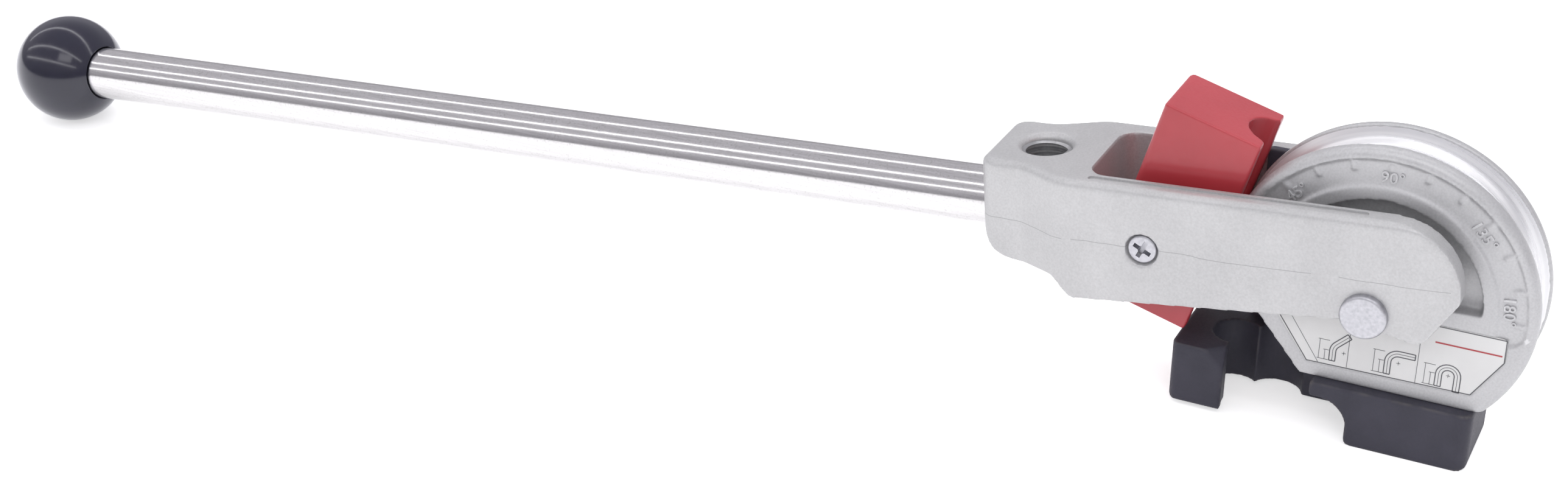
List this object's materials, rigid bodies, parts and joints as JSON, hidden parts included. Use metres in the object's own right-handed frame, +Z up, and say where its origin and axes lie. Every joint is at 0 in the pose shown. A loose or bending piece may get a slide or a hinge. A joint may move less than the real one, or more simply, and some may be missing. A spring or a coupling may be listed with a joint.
{
  "type": "pipe bender",
  "caption": "Hand pipe bender: hooked vice base with grooved round former, forked lever with long tube and ball, tilting red slide block.",
  "frame": {"origin": "underside of the foot, below the pivot axis", "axes": "+X away from the lever towards the former's free side, +Y along the pivot axis away from the viewer, +Z up"},
  "size_m": [0.5931, 0.0581, 0.1011],
  "materials": {
    "base_black": "matte",
    "former_alu": "satin",
    "fork_alu": "satin",
    "tube_chrome": "polished",
    "knob_plastic": "gloss",
    "slide_red": "matte",
    "pin_steel": "brushed",
    "steel": "satin",
    "bronze": "satin",
    "chart": "matte"
  },
  "bodies": {
    "base": {"base_block": "base_black", "bending_former": "former_alu", "former_bolts": "steel", "bolt_washers": "steel", "former_dowels": "steel", "pivot_bush": "bronze", "thrust_washers": "steel", "bend_chart": "chart"},
    "lever": {"fork": "fork_alu", "lever_tube": "tube_chrome", "lever_stud": "steel", "ball_knob": "knob_plastic", "knob_stud": "steel", "knob_insert": "bronze", "pivot_pin": "pin_steel", "pivot_washer": "steel", "pivot_clip": "steel", "slide_screw": "pin_steel", "slide_nut": "steel", "slide_sleeve": "steel", "slide_spacers": "steel"},
    "slide": {"slide_block": "slide_red", "slide_bush": "bronze"}
  },
  "joints": [
    {"name": "lever_swing", "type": "hinge", "parent": "base", "child": "lever", "pos_m": [0, 0, 0.0512], "axis": [0, 1, 0], "range_deg": [0, 180]},
    {"name": "slide_tilt", "type": "hinge", "parent": "lever", "child": "slide", "pos_m": [-0.06942, 0, 0.05659], "axis": [0, 1, 0], "range_deg": [-20, 0]}
  ]
}
